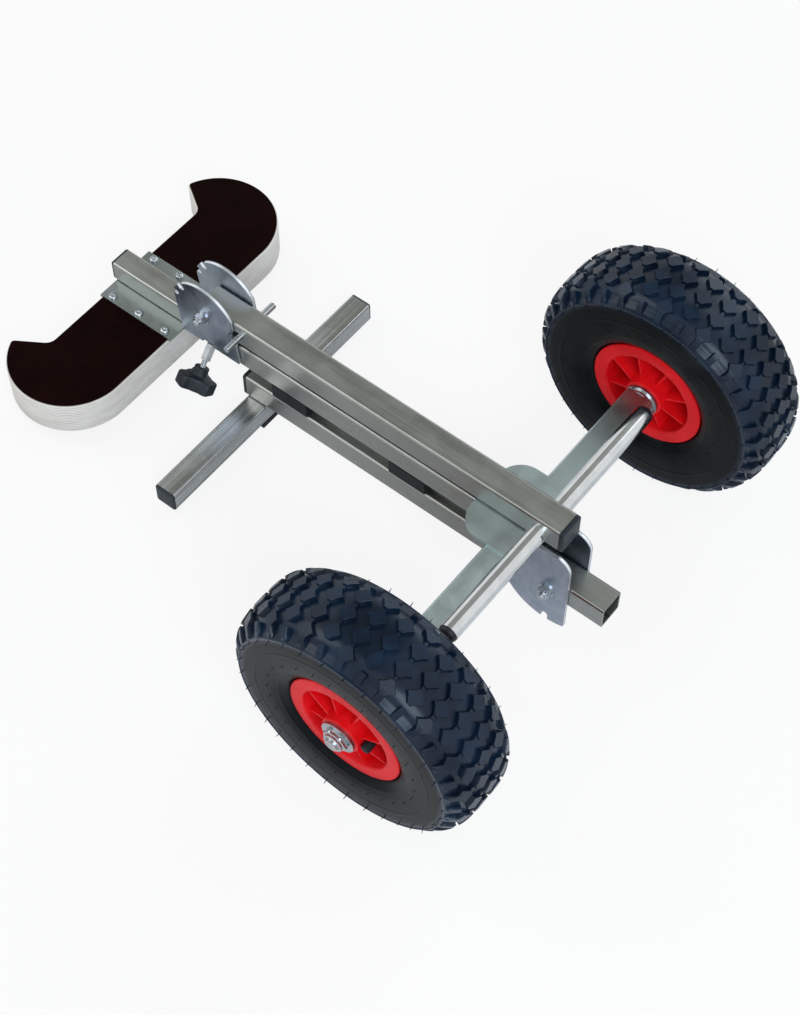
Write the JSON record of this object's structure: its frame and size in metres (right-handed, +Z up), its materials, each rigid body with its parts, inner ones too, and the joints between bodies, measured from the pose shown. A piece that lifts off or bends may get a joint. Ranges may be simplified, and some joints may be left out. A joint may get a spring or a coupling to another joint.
{
  "type": "engine dolly",
  "caption": "Folding dolly for an outboard engine: square steel mast with telescoping transom board, folding handle and foot with lock pins, and pneumatic wheels on an axle beam.",
  "frame": {"origin": "middle of the foot pad's flat underside, on the ground and on the centre line", "axes": "+X along the dolly from the foot pad to the wheels, +Y across it to the far wheel, +Z up"},
  "size_m": [0.6935, 0.5992, 0.276],
  "materials": {
    "tube_steel": "lengthwise brushed stainless steel",
    "plate_steel": "fine brushed stainless plate with bright cut edges",
    "galvanised_steel": "pale mottled steel",
    "bright_steel": "bright turned steel",
    "spring_steel": "drawn spring wire",
    "black_plastic": "black moulded plastic",
    "black_rubber": "black rubber",
    "tyre_rubber": "blue-black tyre rubber with block tread",
    "red_plastic": "bright red moulded plastic",
    "plywood": "pale birch plywood with layered edges",
    "film_face": "dark brown phenolic film"
  },
  "bodies": {
    "mast": {"mast_tube": "tube_steel", "near_handle_plate": "plate_steel", "far_handle_plate": "plate_steel", "near_foot_plate": "plate_steel", "far_foot_plate": "plate_steel", "gusset_plate": "galvanised_steel", "near_axle_beam": "galvanised_steel", "far_axle_beam": "galvanised_steel", "near_axle": "bright_steel", "far_axle": "bright_steel", "axle_spacers": "bright_steel", "axle_washers": "bright_steel", "axle_nuts": "bright_steel", "buffer_blocks": "black_rubber", "clamp_nut": "bright_steel", "pivot_bolts": "bright_steel", "pivot_sleeves": "bright_steel", "pivot_washers": "bright_steel", "pivot_nuts": "bright_steel", "weld_beads": "tube_steel"},
    "extension": {"extension_tube": "tube_steel", "extension_cap": "black_plastic", "board_bracket": "galvanised_steel", "board_core": "plywood", "board_top_film": "film_face", "board_bottom_film": "film_face", "board_screws": "bright_steel"},
    "clamp_screw": {"clamp_stud": "bright_steel"},
    "clamp_handwheel": {"clamp_knob": "black_plastic"},
    "handle": {"handle_tube": "tube_steel", "handle_tube_cap": "black_plastic", "handle_bar": "bright_steel", "handle_bar_caps": "black_plastic", "handle_spring_plug": "black_plastic", "handle_lock_spring": "spring_steel"},
    "handle_lock": {"handle_lock_pin": "bright_steel"},
    "foot": {"foot_tube": "tube_steel", "foot_tube_cap": "black_plastic", "foot_bar": "tube_steel", "foot_bar_caps": "black_plastic", "foot_pad": "black_rubber", "foot_spring_plug": "black_plastic", "foot_lock_spring": "spring_steel"},
    "foot_lock": {"foot_lock_pin": "bright_steel"},
    "near_wheel": {"near_tyre": "tyre_rubber", "near_inner_tube": "black_rubber", "near_rim": "red_plastic", "near_bushes": "bright_steel", "near_valve": "black_rubber"},
    "far_wheel": {"far_tyre": "tyre_rubber", "far_inner_tube": "black_rubber", "far_rim": "red_plastic", "far_bushes": "bright_steel", "far_valve": "black_rubber"}
  },
  "joints": [
    {"name": "mast_extension", "type": "slide", "parent": "mast", "child": "extension", "axis": [-0.9908, 0, -0.1356], "range_m": [0, 0.08]},
    {"name": "clamp_travel", "type": "slide", "parent": "mast", "child": "clamp_screw", "axis": [0.1039, -0.6428, -0.759], "range_m": [0, 0.002]},
    {"name": "clamp_turn", "type": "hinge", "parent": "clamp_screw", "child": "clamp_handwheel", "pos_m": [-0.06808, -0.015, 0.06971], "axis": [0.1039, -0.6428, -0.759], "range_deg": [0, 720]},
    {"name": "handle_fold", "type": "hinge", "parent": "mast", "child": "handle", "pos_m": [-0.07724, 0, 0.11822], "axis": [0, -1, 0], "range_deg": [0, 157.5]},
    {"name": "handle_lock_slide", "type": "slide", "parent": "handle", "child": "handle_lock", "axis": [-0.9908, 0, -0.1356], "range_m": [0, 0.00785], "stiffness_N_per_m": 300, "springref_m": 0.02},
    {"name": "foot_fold", "type": "hinge", "parent": "mast", "child": "foot", "pos_m": [0.36791, 0, 0.09577], "axis": [0, -1, 0], "range_deg": [0, 90]},
    {"name": "foot_lock_slide", "type": "slide", "parent": "foot", "child": "foot_lock", "axis": [0.9908, 0, 0.1356], "range_m": [0, 0.01005], "stiffness_N_per_m": 300, "springref_m": 0.02},
    {"name": "near_wheel_spin", "type": "hinge", "parent": "mast", "child": "near_wheel", "pos_m": [0.32025, -0.2413, 0.138], "axis": [0, 1, 0], "continuous": true},
    {"name": "far_wheel_spin", "type": "hinge", "parent": "mast", "child": "far_wheel", "pos_m": [0.32025, 0.2413, 0.138], "axis": [0, 1, 0], "continuous": true}
  ],
  "couplings": [
    {"joint": "clamp_turn", "follows": "clamp_travel", "rad_per_m": 6283.2}
  ]
}
